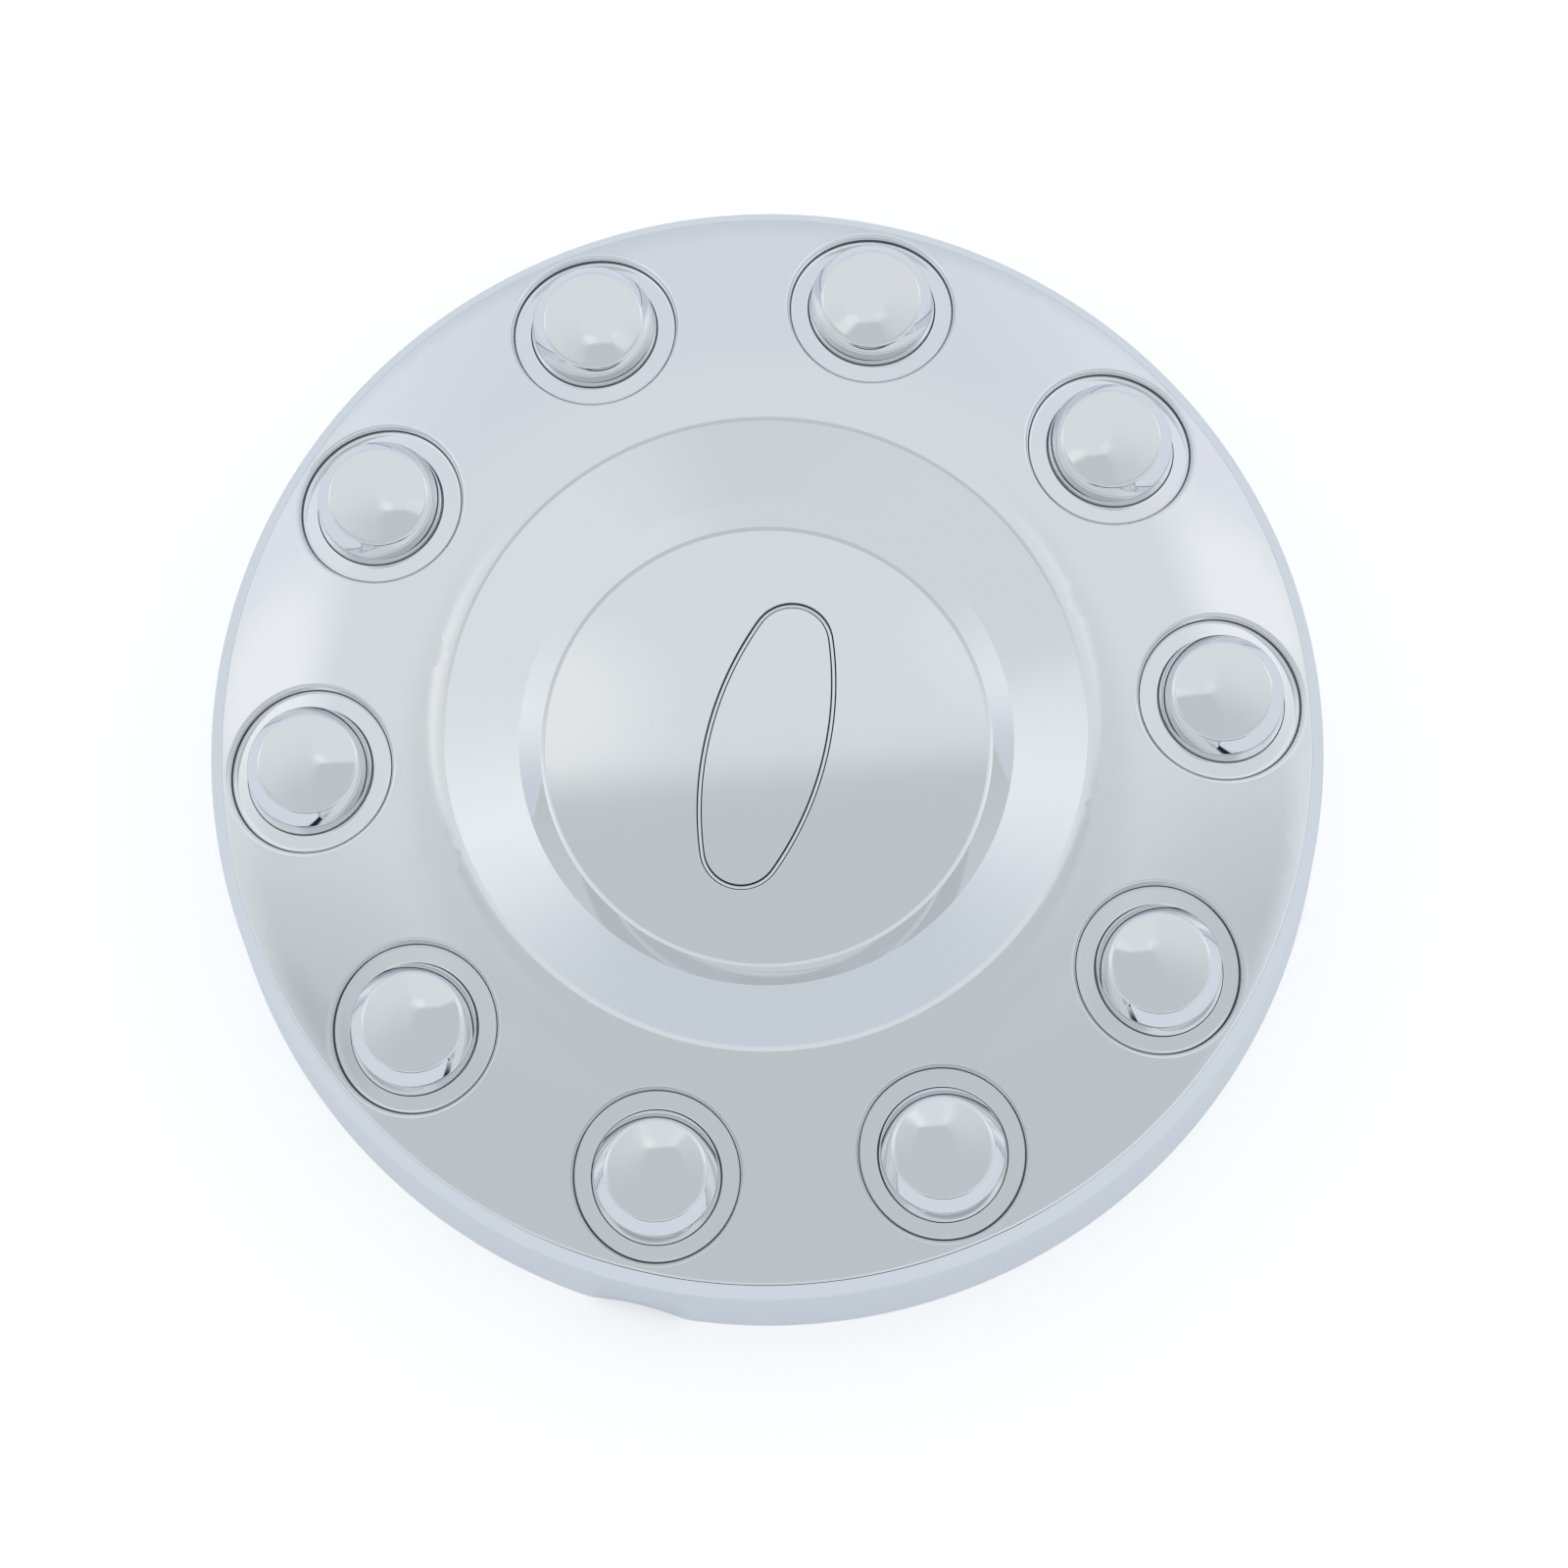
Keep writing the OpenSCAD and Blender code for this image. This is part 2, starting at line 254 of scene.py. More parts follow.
class Shell:
    """Grids of points that are joined into one closed mesh. Each face has its material's number."""

    def __init__(self):
        self.points, self.faces, self.slots, self.count = [], [], [], 0

    def grid(self, rows, closed=True, slot=FACE, keep=None, shade_rows=()):
        """Faces between rows of points, without those that keep turns down. Faces that start at a row in
        shade_rows take the dark material that paints shade.
        """
        rows = np.asarray(rows, float)
        n, m = rows.shape[:2]
        self.points.append(rows.reshape(-1, 3))
        cols = m if closed else m - 1
        for i in range(n - 1):
            for j in range(cols):
                if keep is None or keep(j):
                    a, b = self.count + i * m + j, self.count + i * m + (j + 1) % m
                    self.faces.append((a, b, b + m, a + m))
                    self.slots.append(PAINTED_SHADE if i in shade_rows else slot)
        self.count += n * m

    def face(self, loop, slot=FACE):
        """One face with points of its own."""
        self.points.append(np.asarray(loop, float))
        self.faces.append(tuple(range(self.count, self.count + len(loop))))
        self.slots.append(slot)
        self.count += len(loop)

    def turned(self, angle):
        """Copy of everything, turned about the cap's axis."""
        other = Shell()
        other.points = [spin(p, angle) for p in self.points]
        other.faces, other.slots, other.count = list(self.faces), list(self.slots), self.count
        return other

    def add(self, other):
        """Take in the grids of another shell."""
        self.faces += [tuple(i + self.count for i in f) for f in other.faces]
        self.points += other.points
        self.slots += other.slots
        self.count += other.count

    def build(self, name, materials):
        """Object of all the grids, with the points that they share joined."""
        mesh = bpy.data.meshes.new(name)
        mesh.from_pydata((np.vstack(self.points) * MM).tolist(), [], self.faces)
        for m in materials:
            mesh.materials.append(m)
        mesh.polygons.foreach_set("material_index", self.slots)
        bm = bmesh.new()
        bm.from_mesh(mesh)
        bmesh.ops.remove_doubles(bm, verts=bm.verts, dist=MERGE)
        bmesh.ops.dissolve_degenerate(bm, edges=bm.edges, dist=TINY)
        bmesh.ops.delete(bm, geom=[v for v in bm.verts if not v.link_faces], context="VERTS")
        bmesh.ops.recalc_face_normals(bm, faces=bm.faces)
        bm.to_mesh(mesh)
        bm.free()
        mesh.polygons.foreach_set("use_smooth", [True] * len(mesh.polygons))
        mesh.set_sharp_from_angle(angle=SHARP_A)
        piece = bpy.data.objects.new(name, mesh)
        bpy.context.collection.objects.link(piece)
        return piece


def turn_from(mark, a):
    """Angle from mark to a, at most half a turn either way."""
    return (a - mark + pi) % (2 * pi) - pi


def snapped(angles, marks):
    """The angles, with the nearest one moved onto each mark."""
    out = np.array(angles)
    for mark in marks:
        off = turn_from(mark, np.array(angles))
        k = int(np.argmin(np.abs(off)))
        out[k] = angles[k] - off[k]
    return out


def in_cut(angles, marks, half):
    """For each column of a closed grid, whether it lies within the angle half of one of the marks."""
    middles = (angles + np.append(angles[1:], angles[0] + 2 * pi)) / 2
    return [any(abs(turn_from(mark, a)) < half for mark in marks) for a in middles]


def cut_ends(cut):
    """Edges between columns where a cut begins or ends."""
    return [j for j in range(len(cut)) if cut[j] != cut[j - 1]]


def cap_ring(rho, z, angles):
    """Ring of points round the cap's axis."""
    return np.array([(rho * cos(a), rho * sin(a), z) for a in angles])


def reach(phi, rim, brow_r):
    """Distance from a lug's axis to the edge of its sector, in the direction phi."""
    c, s, slope = cos(phi), abs(sin(phi)), tan(STEP_A / 2)
    ways = []
    if rim**2 >= (LUG_R * s) ** 2:
        ways.append(-LUG_R * c + sqrt(rim**2 - (LUG_R * s) ** 2))
    if s - slope * c > 0:
        ways.append(LUG_R * slope / (s - slope * c))
    if c < 0 and brow_r**2 >= (LUG_R * s) ** 2:
        ways.append(-LUG_R * c - sqrt(brow_r**2 - (LUG_R * s) ** 2))
    return min(ways)


def directions(rim, brow_r):
    """Directions round a lug's axis: along the rim, up one side, along the crest and back."""
    half = STEP_A / 2
    a = atan2(rim * sin(half), rim * cos(half) - LUG_R)
    b = atan2(brow_r * sin(half), brow_r * cos(half) - LUG_R)
    start = np.linspace(-a, a, RIM_COLS + 1)[:-1]
    side = [a, *np.linspace(a + HEM_A, b - HEM_A, SIDE_COLS - 1)]
    crest = np.linspace(b, 2 * pi - b, CREST_COLS + 1)[:-1]
    back = [2 * pi - b, *np.linspace(2 * pi - b + HEM_A, 2 * pi - a - HEM_A, SIDE_COLS - 1)]
    return np.concatenate([start, side, crest, back])


def stand(section, phi):
    """Points (r, z) of a section set up round the first lug in the direction phi."""
    section = np.asarray(section)
    r = section[:, 0]
    return np.stack([LUG_R + r * cos(phi), r * sin(phi), section[:, 1]], 1)


def lug_ring(r, z, phis):
    """Ring of points round the first lug's axis."""
    return np.array([stand([(r, z)], phi)[0] for phi in phis])


def along(r, phi):
    """Radius of the cap at a distance r from a lug's axis, in the direction phi."""
    return np.hypot(LUG_R + r * cos(phi), r * sin(phi))


def dome_along(phi, depth=0.0):
    """The dome's height as a function of the distance from a lug's axis, in the direction phi."""
    def height(r):
        return float(dome_z(along(r, phi), depth))
    return height


def tangent(curve, r, sign):
    """Point a step along a curve z(r) from r, outwards or inwards."""
    step, near = 0.5 * sign, 0.01
    slope = (curve(r + near) - curve(r - near)) / (2 * near)
    return point(r + step, curve(r) + slope * step)


def hemmed(start, end, steps):
    """Values between start and end, with narrow first and last steps."""
    return np.linspace(start + HEM, end - HEM, steps)


def slide(top, low, floor):
    """Where the line from the point top to the point low, drawn on, meets a pocket's floor."""
    slope = (low[0] - top[0]) / (top[1] - low[1])
    foot = point(top[0], 0)
    for _ in range(FIT_PASSES):
        foot = point(top[0] + (top[1] - floor(foot[0])) * slope, floor(foot[0]))
    return foot


def crown_rows():
    """Crown of a lug cover: part of a wide ball, and its rounded edge."""
    slope = asin(CROWN_R / CROWN_BALL_R)
    inwards = point(-cos(slope), sin(slope))
    edge = rounded(crown_edge + inwards, crown_edge, cover_shoulder, CROWN_ROUND, steps=5)
    radii = np.linspace(0, edge[0][0] - HEM, CROWN_ROWS)
    return [point(r, crown_ball_z + sqrt(CROWN_BALL_R**2 - r**2)) for r in radii] + list(edge)


def side_rows(floor, shoulder_steps=4):
    """Shoulder of a lug cover, then its foot. Gives the two apart."""
    foot = slide(cover_shoulder, cover_foot, floor)
    side_h = cover_shoulder[1] - foot[1]
    if side_h > SIDE_MIN:
        above = cover_shoulder
        radius = min(SHOULDER_ROUND, side_h * SHOULDER_FIT)
        shoulder = rounded(crown_edge, cover_shoulder, foot, radius, shoulder_steps)
    else:
        above = crown_edge
        foot = slide(crown_edge, cover_shoulder, floor)
        away = unit(crown_edge - foot)
        shoulder = [foot + away * d for d in np.linspace(*TAPER_SPAN, shoulder_steps + 1)]
    return list(shoulder), list(rounded(above, foot, tangent(floor, foot[0], 1), FOOT_ROUND, steps=4))


def pocket_rows(floor, dome):
    """A pocket's rounded inner corner, and its wall and lip."""
    wall_r = POCKET_R - POCKET_DRAFT
    corner, lip = point(wall_r, floor(wall_r)), point(POCKET_R, dome(POCKET_R))
    inner = rounded(tangent(floor, wall_r, -1), corner, lip, FLOOR_ROUND, steps=6)
    return list(inner), list(rounded(corner, lip, tangent(dome, POCKET_R, 1), LIP_ROUND, steps=8))


def lug_section(phi):
    """Section from the middle of a lug cover, over its foot and the pocket, to the sector's edge.

    Also gives the rows that are painted dark as shade.
    """
    floor, dome = dome_along(phi, POCKET_D), dome_along(phi)
    shoulder, foot = side_rows(floor)
    corner, lip = pocket_rows(floor, dome)
    end = reach(phi, sector_out, sector_in)
    rows = crown_rows() + shoulder
    # The foot's rounding and the pocket's inner corner are painted dark as shade
    shade_rows = [len(rows) + k for k in FOOT_SHADE]
    rows += foot
    rows += [point(r, floor(r)) for r in hemmed(foot[-1][0], corner[0][0], FLOOR_ROWS)]
    shade_rows += [len(rows) + k for k in CORNER_SHADE]
    rows += corner + lip
    rows += [point(r, dome(r)) for r in hemmed(lip[-1][0], end, DOME_ROWS)]
    rows.append(point(end, dome(end)))
    return rows, shade_rows


def slit_edges(r):
    """Directions of the slits' edges in a wall of radius r."""
    half = asin(SLIT_W / 2 / r)
    return [a + side * half for a in SLIT_ANGLES for side in (-1, 1)]


def socket_outer(z):
    """Radius of a socket's outer side."""
    slope = SOCKET_TAPER / (bevel_z + WALL - SOCKET_Z)
    return SHOULDER_R - SOCKET_TAPER + (z - SOCKET_Z) * slope


def nut_socket(phis):
    """Nut socket behind a cover: its roof, bore, slits and outer side. Also gives its top outer ring."""
    shell = Shell()
    neck_z, roof_z = cover_shoulder[1] - WALL / 2, crown_z - WALL
    roof_r, slit_top = CROWN_R - WALL, SOCKET_Z + SLIT_L

    def slit_ring(r, z):
        return lug_ring(r, z, snapped(phis, slit_edges(r)))

    section = [(0, roof_z), (roof_r / 2, roof_z), (roof_r, roof_z), (SOCKET_R, neck_z)]
    roof = [lug_ring(r, z, phis) for r, z in section]
    shell.grid(roof + [slit_ring(SOCKET_R, slit_top)], slot=BACK)
    slit = in_cut(snapped(phis, slit_edges(SOCKET_R)), SLIT_ANGLES, asin(SLIT_W / 2 / SOCKET_R))
    levels = np.linspace(SOCKET_Z, slit_top, SLIT_ROWS)
    inside = [slit_ring(SOCKET_R, z) for z in levels]
    outside = [slit_ring(socket_outer(z), z) for z in levels]
    for rows in (inside, outside, [inside[0], outside[0]]):
        shell.grid(rows, slot=BACK, keep=lambda j: not slit[j])
    shell.grid([inside[-1], outside[-1]], slot=BACK, keep=lambda j: slit[j])
    for j in cut_ends(slit):
        shell.grid([[ring[j] for ring in inside], [ring[j] for ring in outside]], closed=False, slot=BACK)
    return shell, slit_ring(socket_outer(slit_top), slit_top)


def back_rho(z):
    """Radius of the cap's inside at a height, behind the bevel or the skirt."""
    line = bevel_dir if z > back_corner[1] else skirt_dir
    return back_corner[0] + (z - back_corner[1]) * line[0] / line[1]


def back_meets(depth):
    """Radius where the cap's inside meets the dome moved into the material by depth."""
    rho = RIM_R - WALL
    for _ in range(MEET_PASSES):
        rho = (rho + back_rho(float(dome_z(rho, depth)))) / 2
    return rho


def back_section(phi, rim_in, rim_pad, brow_in):
    """Section of a sector's back, from its socket's root over the pocket's pad to the sector's edge."""
    under, over = dome_along(phi, POCKET_D + WALL), dome_along(phi, WALL)
    r, end = socket_outer(SOCKET_Z + ROOT_H), reach(phi, rim_in, brow_in)
    mid_r, root_r = r + ROOT_MID, r + ROOT_ROUND
    rows = [(r, under(r) - ROOT_ROUND), (mid_r, under(mid_r) - ROOT_MID), (root_r, under(root_r))]
    if end < pad_r and abs(along(end, phi) - rim_in) < SAME:
        # The pad runs into the cap's inside here, so the rows after it lie on one line
        last = reach(phi, rim_pad, brow_in)
        half_way = (root_r + last) / 2
        return rows + [(half_way, under(half_way))] + [(last, under(last))] * 4
    half_way, beside = (root_r + pad_r) / 2, (pad_r + end) / 2
    rows += [(half_way, under(half_way)), (pad_r, under(pad_r)), (pad_r, over(pad_r))]
    return rows + [(beside, over(beside)), (end, over(end))]


def lug_back():
    """Back of one sector, with its socket. Also gives the ring of points at the sector's edge."""
    rim_in, rim_pad = back_meets(WALL), back_meets(POCKET_D + WALL)
    brow_in = on_dome(ring_edge, dish_dir, WALL, 1)[0]
    phis = directions(rim_in, brow_in)
    shell, start = nut_socket(phis)
    rows = np.stack([stand(back_section(phi, rim_in, rim_pad, brow_in), phi) for phi in phis], 1)
    shell.grid([start, *rows], slot=BACK)
    return shell, rows[-1]


def hollowed(rho, a, z):
    """Radius of the skirt's outside, with the finger hollow over the notch taken off it."""
    off = turn_from(NOTCH_A, a)
    y = rho * sin(off)
    if abs(off) > HOLLOW_REACH or abs(y) > NOTCH_W or z > HOLLOW_H * HOLLOW_TOP:
        return rho
    lean = hollow_d / HOLLOW_H
    cut = BASE_R + HOLLOW_R - hollow_d + z * lean - sqrt(HOLLOW_R**2 - y**2) * sqrt(1 + lean**2)
    cut_rho = hypot(cut, y)
    # The smaller radius of the two, with a soft change from one to the other
    t = min(max(0.5 + 0.5 * (cut_rho - rho) / HOLLOW_ROUND, 0.0), 1.0)
    return cut_rho + (rho - cut_rho) * t - HOLLOW_ROUND * t * (1 - t)


def hollowed_ring(rho, z, angles):
    """Ring of points round the cap's axis, with the finger hollow in it."""
    return np.array([(hollowed(rho, a, z) * cos(a), hollowed(rho, a, z) * sin(a), z) for a in angles])


def skirt_outside(outer_a, low_a):
    """Rows over the rim's rounding, the bevel and the skirt's outside, down to the notch's height."""
    bevel = rounded(rim_edge, bevel_edge, base_edge, BEVEL_ROUND, steps=6)
    section = [point(r, dome_z(r)) for r in (sector_out, rim_turn[0][0] - HEM)]
    section += [*rim_turn, rim_turn[-1] + bevel_dir * HEM, bevel[0] - bevel_dir * HEM]
    section += [*bevel, bevel[-1] + skirt_dir * HEM]
    rows = [cap_ring(r, z, outer_a) for r, z in section]
    upper = np.linspace(bevel[-1][1], SKIRT_UPPER, SKIRT_UPPER_ROWS)[1:]
    lower = np.linspace(SKIRT_LOWER, NOTCH_H, SKIRT_LOWER_ROWS)
    for z in [*upper, *lower]:
        rho = bevel_edge[0] + (bevel_edge[1] - z) * -skirt_dir[0] / skirt_dir[1]
        rows.append(hollowed_ring(rho, z, low_a if z < SKIRT_UPPER else outer_a))
    return rows


def back_rim(start, angles):
    """Rows round the back rim, from the skirt's outside at the notch's height to its inside."""
    inner_foot = point(back_rho(0), 0)
    outer_turn = rounded(base_edge - skirt_dir, base_edge, inner_foot, BACK_ROUND, steps=3)
    inner_turn = rounded(base_edge, inner_foot, back_corner, BACK_ROUND, steps=3)
    rows = [start]
    rows += [hollowed_ring(r, z, angles) for r, z in outer_turn]
    rows += [cap_ring(r, z, angles) for r, z in inner_turn]
    return rows + [cap_ring(back_rho(NOTCH_H), NOTCH_H, angles)]


def skirt_inside(start, angles, edge):
    """Rows up the skirt's inside, from the notch's height to the sectors' edge."""
    edge_a = np.unwrap(np.arctan2(edge[:, 1], edge[:, 0]))
    edge_a += 2 * pi * round((angles[0] - edge_a[0]) / (2 * pi))
    top_z, rows = INSIDE_Z[-1], [start]
    for z in INSIDE_Z:
        t = (z - NOTCH_H) / (top_z - NOTCH_H)
        rows.append(cap_ring(back_rho(z), z, angles * (1 - t) + edge_a * t))
    # The first row under the edge follows the bend behind the bevel
    bend = [min(back_corner[1], z - INSIDE_BEND * (z - top_z)) for z in edge[:, 2]]
    rows.append(np.array([(back_rho(z) * cos(a), back_rho(z) * sin(a), z) for z, a in zip(bend, edge_a)]))
    return rows + [edge]


def skirt(outer_a, inner_ring):
    """Rim edge, bevel, skirt, back rim and the skirt's inside, with the notch."""
    shell = Shell()
    half = asin(NOTCH_W / 2 / BASE_R)
    low_a = snapped(outer_a, [NOTCH_A - half, NOTCH_A + half])
    notch = in_cut(low_a, [NOTCH_A], half)
    outside = skirt_outside(outer_a, low_a)
    low = back_rim(outside[-1], low_a)
    shell.grid(outside)
    shell.grid(low, keep=lambda j: not notch[j])
    # The notch's roof and its two ends
    shell.grid([low[0], low[-1]], keep=lambda j: notch[j])
    for j in cut_ends(notch):
        shell.face([ring[j] for ring in low])
    shell.grid(skirt_inside(low[-1], low_a, inner_ring), slot=BACK)
    return shell


def oval_ring(grow, z, angles):
    """Points along the oval of four arcs, moved outwards by grow."""
    end_x, half_w = OVAL_L / 2 - OVAL_END_R, OVAL_W / 2
    side_r = (half_w**2 + end_x**2 - OVAL_END_R**2) / (2 * (half_w - OVAL_END_R))
    touch = atan2(side_r - half_w, end_x)
    joint = atan2(OVAL_END_R * sin(touch), end_x + OVAL_END_R * cos(touch))
    out = []
    for t in angles:
        turns = round(t / pi)
        part, flip = t - turns * pi, (-1) ** turns
        if abs(part) < joint:
            centre, r, a = point(end_x, 0), OVAL_END_R, part / joint * touch
        else:
            up = 1 if part > 0 else -1
            share = (abs(part) - joint) / (pi / 2 - joint)
            centre, r, a = point(0, up * (half_w - side_r)), side_r, up * (touch + (pi / 2 - touch) * share)
        x, y = flip * (centre + (r + grow) * point(cos(a), sin(a)))
        out.append((x, y, z))
    return np.array(out)


def hub_section():
    """Section of the hub, from the sectors' edge over the brow, down the dish and ring to the flat disc."""
    ring_turn = rounded(brow_turn[-1], ring_edge, disc_edge, RING_ROUND, steps=3)
    disc_turn = rounded(ring_edge, disc_edge, point(0, disc_z), DISC_ROUND, steps=6)
    section = [point(r, dome_z(r)) for r in (sector_in, brow_turn[0][0] + HEM)]
    section += [*brow_turn, brow_turn[-1] - dish_dir * HEM, ring_turn[0] + dish_dir * HEM]
    section += [*ring_turn, ring_turn[-1] - ring_dir * HEM, disc_turn[0] + ring_dir * HEM]
    return [*section, *disc_turn]


def hub(angles):
    """Brow, dish, ring and disc with its oval groove."""
    section = hub_section()
    rows = [cap_ring(r, z, angles) for r, z in section]
    half = GROOVE_W / 2 + LIP_BLEND / 2
    edge, lip = cap_ring(section[-1][0] - HEM, disc_z, angles), oval_ring(half + HEM, disc_z, angles)
    rows += [edge * (1 - t) + lip * t for t in DISC_SHARES]
    # The groove's walls are painted dark as shade
    shade_rows = [len(rows) + k for k in GROOVE_WALLS]
    for x, d in GROOVE_HALF + [(-x, d) for x, d in GROOVE_HALF[-2::-1]]:
        rows.append(oval_ring(x * half, disc_z - d * GROOVE_D, angles))
    middle = oval_ring(-half - HEM, disc_z, angles)
    rows += [middle * point(1 - t, 1 - t, 1) for t in MIDDLE_SHARES]
    shell = Shell()
    shell.grid(rows, shade_rows=shade_rows)
    return shell


def hub_back(angles):
    """Underside of the dish, ring and disc."""
    under_r, under_z = inset(disc_edge, point(1, 0), ring_dir, WALL)
    section = [on_dome(ring_edge, dish_dir, WALL, 1), inset(ring_edge, ring_dir, dish_dir, WALL)]
    section += [(under_r * t, under_z) for t in UNDER_SHARES]
    shell = Shell()
    shell.grid([cap_ring(r, z, angles) for r, z in section], slot=BACK)
    return shell


def repeated(ring, first, count):
    """Angles about the cap's axis of one stretch of a sector's edge, for all the sectors."""
    part = ring[first:first + count]
    angles = np.sort(np.arctan2(part[:, 1], part[:, 0]))
    return np.concatenate([angles + k * STEP_A for k in range(LUGS)])


def make_sector():
    """One lug's sector of the cap, face and back, and the rings of points at their edges."""
    phis = directions(sector_out, sector_in)
    sections = [lug_section(phi) for phi in phis]
    rows = np.stack([stand(points, phi) for (points, _), phi in zip(sections, phis)], 1)
    sector = Shell()
    # Rows painted dark as shade, the same in every direction round the lug
    sector.grid(rows, shade_rows=sections[0][1])
    back, back_edge = lug_back()
    sector.add(back)
    return sector, rows[-1], back_edge


def make_cap(materials):
    """The whole cap as one closed mesh."""
    sector, edge, back_edge = make_sector()
    whole = Shell()
    for k in range(LUGS):
        whole.add(sector.turned(k * STEP_A))
    inner_ring = np.concatenate([spin(back_edge[:RIM_COLS], k * STEP_A) for k in range(LUGS)])
    # The skirt and the hub take their columns from the sectors' edges
    crest = RIM_COLS + SIDE_COLS
    whole.add(skirt(repeated(edge, 0, RIM_COLS), inner_ring))
    whole.add(hub(repeated(edge, crest, CREST_COLS)))
    whole.add(hub_back(repeated(back_edge, crest, CREST_COLS)))
    return whole.build("cap_shell", materials)


class Graph:
    """Short forms for the shader nodes of one material or world."""

    def __init__(self, owner):
        owner.use_nodes = True
        self.nodes, self.links = owner.node_tree.nodes, owner.node_tree.links

    def feed(self, socket, value):
        """Link an output, or set a colour or number, on a socket."""
        if isinstance(value, bpy.types.NodeSocket):
            self.links.new(value, socket)
        elif isinstance(value, tuple):
            socket.default_value = (*value, 1)
        else:
            socket.default_value = value

    def math(self, kind, a, b=0.0):
        node = self.nodes.new("ShaderNodeMath")
        node.operation = kind
        self.feed(node.inputs[0], a)
        self.feed(node.inputs[1], b)
        return node.outputs[0]

    def ramp(self, value, low, high, start=0.0, end=1.0, kind="SMOOTHSTEP"):
        """Value from start to end as the input goes from low to high."""
        node = self.nodes.new("ShaderNodeMapRange")
        node.interpolation_type = kind
        names = ("Value", "From Min", "From Max", "To Min", "To Max")
        for name, v in zip(names, (value, low, high, start, end)):
            self.feed(node.inputs[name], v)
        return node.outputs["Result"]

    def blend(self, factor, a, b):
        node = self.nodes.new("ShaderNodeMix")
        node.data_type = "RGBA"
        self.feed(node.inputs["Factor"], factor)
        # The colour sockets of this node are its seventh and eighth
        self.feed(node.inputs[6], a)
        self.feed(node.inputs[7], b)
        return node.outputs[2]

    def output(self, kind, name):
        return self.nodes.new(kind).outputs[name]


def chrome(name, tint, rough, grain):
    """Plating: a polished metal with faint unevenness left by the moulding. The face and back are bright; a
    dark tint paints shade.
    """
    mat = bpy.data.materials.new(name)
    graph = Graph(mat)
    shader = graph.nodes["Principled BSDF"]
    noise = graph.nodes.new("ShaderNodeTexNoise")
    graph.feed(noise.inputs["Vector"], graph.output("ShaderNodeTexCoord", "Object"))
    graph.feed(noise.inputs["Scale"], grain)
    graph.feed(noise.inputs["Detail"], UNEVEN_DETAIL)
    uneven = graph.ramp(noise.outputs["Fac"], 0.0, 1.0, rough * UNEVEN_LOW, rough * UNEVEN_HIGH, "LINEAR")
    graph.feed(shader.inputs["Base Color"], tint)
    graph.feed(shader.inputs["Metallic"], 1.0)
    graph.feed(shader.inputs["Roughness"], uneven)
    return mat


def floor_white():
    """White floor. The plating mirrors a dimmer one, which falls off to a dark room."""
    mat = bpy.data.materials.new("floor_white")
    graph = Graph(mat)
    shader = graph.nodes["Principled BSDF"]
    camera = graph.output("ShaderNodeLightPath", "Is Camera Ray")
    glossy = graph.output("ShaderNodeLightPath", "Is Glossy Ray")
    place = graph.nodes.new("ShaderNodeVectorMath")
    place.operation = "LENGTH"
    graph.feed(place.inputs[0], graph.output("ShaderNodeTexCoord", "Object"))
    far = graph.math("MULTIPLY", graph.ramp(place.outputs["Value"], *FLOOR_EDGE), glossy)
    near = graph.math("MULTIPLY", glossy, graph.math("SUBTRACT", 1.0, far))
    glow = graph.blend(near, BLACK, FLOOR_GLOW)
    graph.feed(shader.inputs["Base Color"], graph.blend(far, FLOOR_COLOUR, FLOOR_FAR))
    graph.feed(shader.inputs["Roughness"], FLOOR_ROUGH)
    graph.feed(shader.inputs["Emission Color"], graph.blend(camera, glow, FLOOR_LIFT))
    graph.feed(shader.inputs["Emission Strength"], 1.0)
    return mat


def make_floor():
    mesh = bpy.data.meshes.new("studio_floor")
    w = FLOOR_W / 2
    mesh.from_pydata([(-w, -w, 0), (w, -w, 0), (w, w, 0), (-w, w, 0)], [], [(0, 1, 2, 3)])
    mesh.materials.append(floor_white())
    floor = bpy.data.objects.new("studio_floor", mesh)
    bpy.context.collection.objects.link(floor)
    return floor


def make_camera():
    """Camera that looks at the cap from the photo's side, turned about its own axis by CAM_ROLL."""
    cam = bpy.data.cameras.new("view")
    cam.lens, cam.sensor_width = CAM_LENS, CAM_SENSOR
    cam.clip_start, cam.clip_end = CAM_NEAR, CAM_FAR
    holder = bpy.data.objects.new("view", cam)
    bpy.context.collection.objects.link(holder)
    level = cos(CAM_ELEVATION)
    back = Vector((level * cos(CAM_AZIMUTH), level * sin(CAM_AZIMUTH), sin(CAM_ELEVATION)))
    right = (-back).cross(Vector((0, 0, 1))).normalized()
    up = right.cross(-back)
    turned_right = right * cos(CAM_ROLL) + up * sin(CAM_ROLL)
    turned_up = up * cos(CAM_ROLL) - right * sin(CAM_ROLL)
    turn = Matrix((turned_right, turned_up, back)).transposed().to_4x4()
    holder.matrix_world = Matrix.Translation(CAM_AIM + back * CAM_DISTANCE) @ turn
    bpy.context.scene.camera = holder


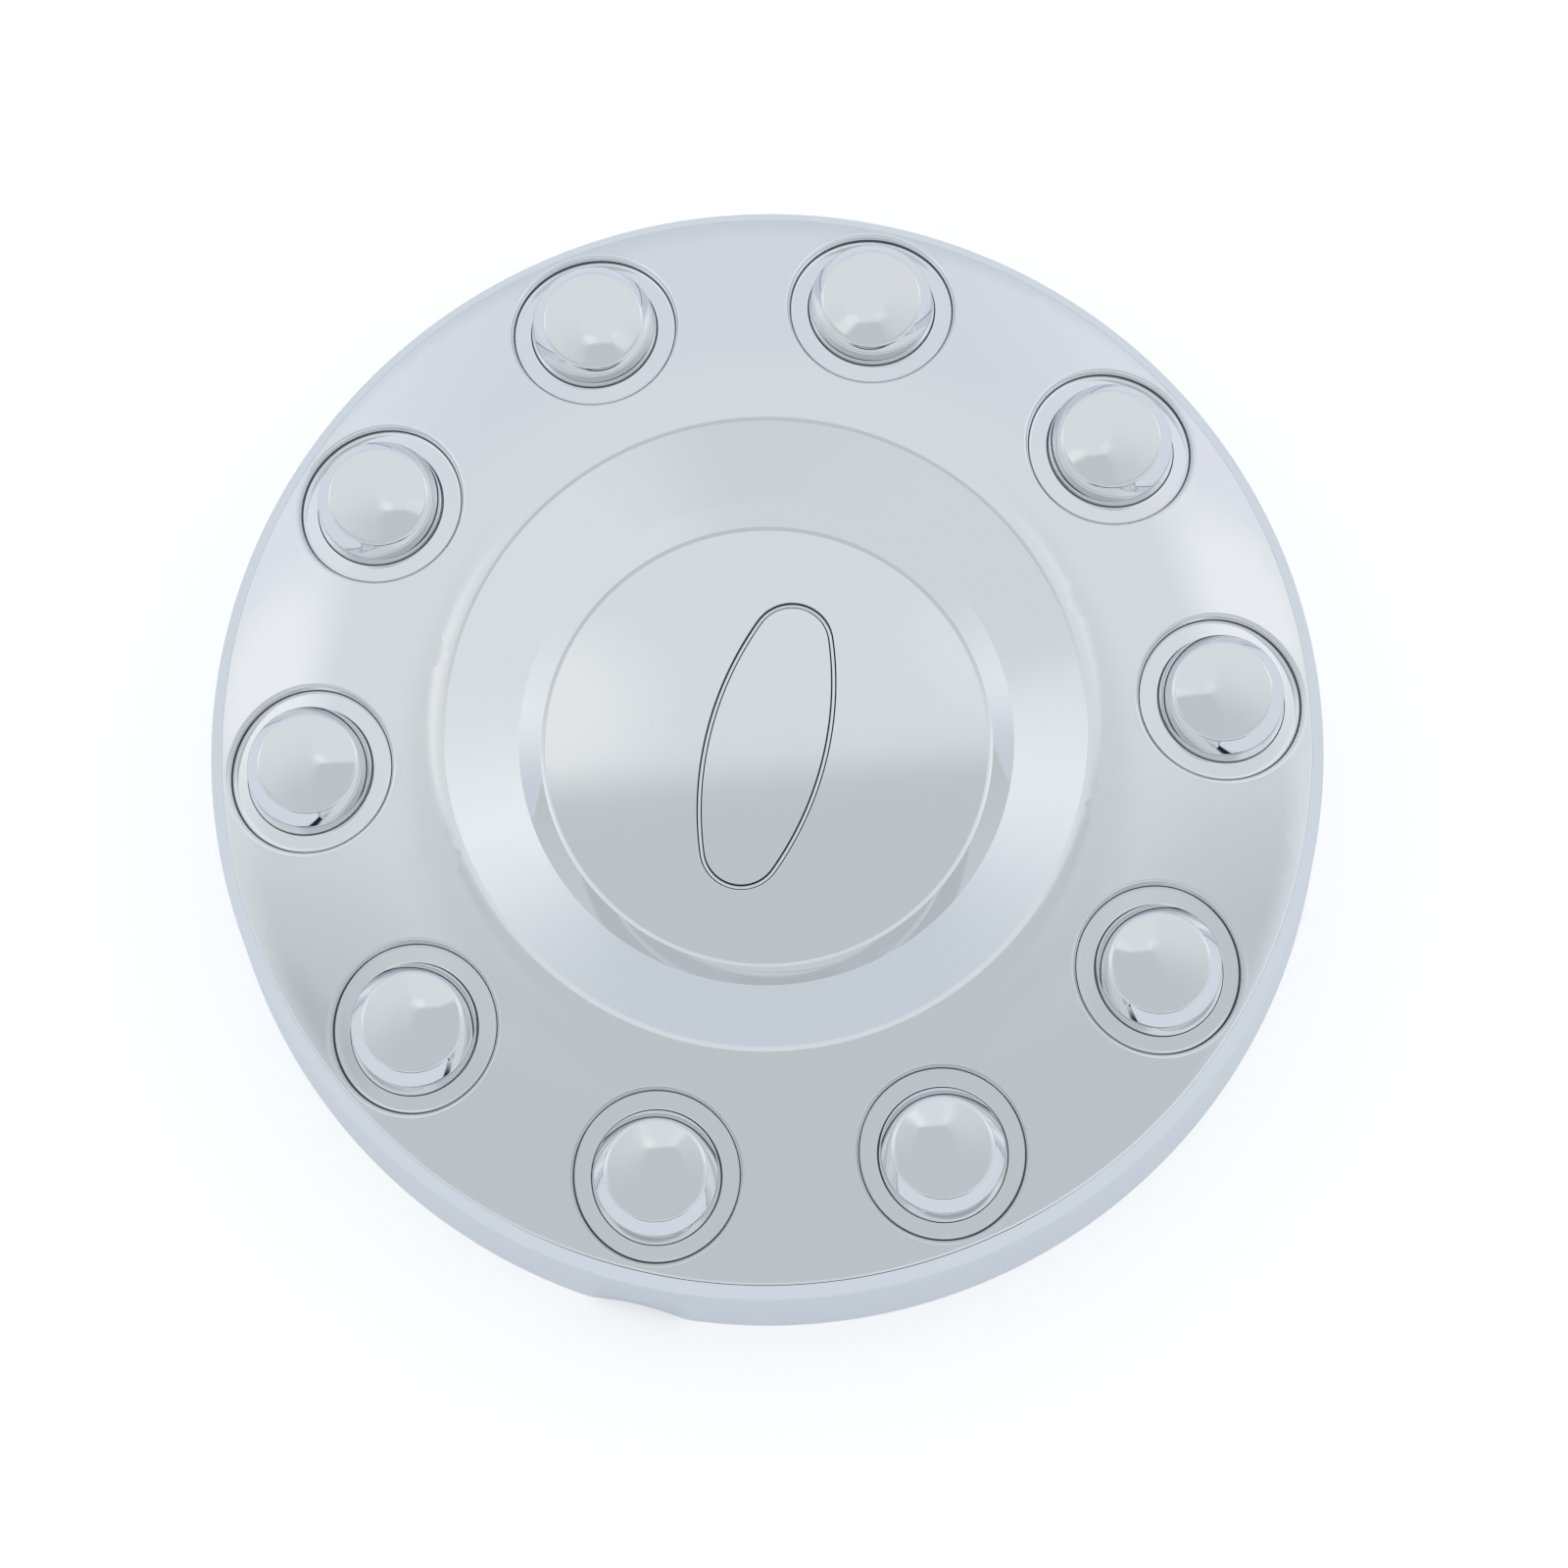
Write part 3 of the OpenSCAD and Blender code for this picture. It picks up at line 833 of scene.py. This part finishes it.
class Tent(Graph):
    """Nodes of the light tent in the world, and the direction that a ray looks in.

    theta is its angle from overhead in degrees, split into v towards the picture's top and u to
    its right; wide is u without its sign. bearing is 1 straight up the picture and -1 straight down.
    """

    def __init__(self, world):
        super().__init__(world)
        self.nodes.clear()
        math = self.math
        split = self.nodes.new("ShaderNodeSeparateXYZ")
        self.feed(split.inputs[0], self.output("ShaderNodeTexCoord", "Generated"))
        x, y, z = split.outputs
        c, s = cos(VIEW_UP_A), sin(VIEW_UP_A)
        up = math("ADD", math("MULTIPLY", x, c), math("MULTIPLY", y, s))
        right = math("SUBTRACT", math("MULTIPLY", x, s), math("MULTIPLY", y, c))
        flat = math("SUBTRACT", 1.0, math("MULTIPLY", z, z))
        level = math("SQRT", math("MAXIMUM", flat, LEVEL_MIN))
        self.theta = math("MULTIPLY", math("ARCCOSINE", z), 180 / pi)
        per = math("DIVIDE", self.theta, level)
        self.v, self.u = math("MULTIPLY", up, per), math("MULTIPLY", right, per)
        self.wide = math("ABSOLUTE", self.u)
        self.bearing = math("DIVIDE", up, level)

    def patch(self, light, at, radii, colour):
        """The light with a soft oval patch, which is full inside the share PATCH_CORE of its radii."""
        math = self.math
        du = math("DIVIDE", math("SUBTRACT", self.u, at[0]), radii[0])
        dv = math("DIVIDE", math("SUBTRACT", self.v, at[1]), radii[1])
        away = math("SQRT", math("ADD", math("MULTIPLY", du, du), math("MULTIPLY", dv, dv)))
        return self.blend(self.ramp(away, 1.0, PATCH_CORE), light, colour)


def sky_light(tent):
    """Pale sky, with a bright panel at each side and two small glints over the horizon."""
    far = tent.blend(tent.ramp(tent.wide, *SKY_SPREAD), SKY_BACK, SKY_SIDE)
    light = tent.blend(tent.ramp(tent.v, *SKY_RISE), SKY_NEAR, far)
    light = tent.patch(light, PANEL_LEFT_AT, PANEL_RADII, PANEL)
    light = tent.patch(light, PANEL_RIGHT_AT, PANEL_RADII, PANEL)
    light = tent.patch(light, GLINT_LEFT_AT, GLINT_LEFT_RADII, GLINT_LEFT)
    return tent.patch(light, GLINT_RIGHT_AT, GLINT_RIGHT_RADII, GLINT_RIGHT)


def front_light(tent, low_front):
    """Greyer front of the tent, with a darker patch at its left, down to the low light."""
    side = tent.math("MULTIPLY", tent.ramp(tent.wide, *FRONT_SPREAD), tent.ramp(tent.v, *FRONT_RISE))
    light = tent.patch(tent.blend(side, FRONT, FRONT_SIDE), DARK_AT, DARK_RADII, FRONT_DARK)
    return tent.blend(tent.ramp(tent.theta, *FRONT_DOWN), light, low_front)


def low_light(tent):
    """Light near the floor: the front's, and that of the whole round."""
    to_right = tent.ramp(tent.u, *TO_RIGHT)
    front = tent.blend(to_right, LOW_FRONT, LOW_FRONT_RIGHT)
    side = tent.blend(to_right, LOW_SIDE, LOW_SIDE_RIGHT)
    behind = tent.math("MAXIMUM", tent.ramp(tent.bearing, *BACK_TURN), tent.ramp(tent.theta, *BACK_DOWN))
    whole = tent.blend(tent.ramp(tent.bearing, *SIDE_TURN), front, side)
    return front, tent.blend(behind, whole, LOW_BACK)


def make_tent():
    """Light tent: pale sky behind, greyer front, bright panels at the sides, dark gap at the floor."""
    world = bpy.data.worlds.new("tent")
    bpy.context.scene.world = world
    tent = Tent(world)
    low_front, low = low_light(tent)
    # The horizon is sharp straight ahead and soft to the sides
    middle = tent.ramp(tent.wide, *HORIZON_SPREAD, *HORIZON_V)
    soft = tent.ramp(tent.wide, *HORIZON_BLUR, *HORIZON_SOFT)
    above = tent.ramp(tent.v, tent.math("SUBTRACT", middle, soft), tent.math("ADD", middle, soft))
    light = tent.blend(above, front_light(tent, low_front), sky_light(tent))
    light = tent.blend(tent.ramp(tent.theta, *TENT_DOWN), light, low)
    gap = tent.math("MULTIPLY", tent.ramp(tent.theta, *GAP_DOWN), tent.ramp(tent.bearing, *GAP_TURN))
    light = tent.blend(gap, light, GAP_DARK)
    light = tent.blend(tent.output("ShaderNodeLightPath", "Is Camera Ray"), light, WHITE)
    back = tent.nodes.new("ShaderNodeBackground")
    tent.feed(back.inputs["Color"], light)
    tent.feed(tent.nodes.new("ShaderNodeOutputWorld").inputs["Surface"], back.outputs[0])


def set_look():
    bpy.context.scene.view_settings.view_transform = "Standard"


set_look()
make_camera()
make_tent()
cap = make_cap([chrome(*plating) for plating in PLATING])
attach(cap, "root")
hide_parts("center_cap")
floor = make_floor()
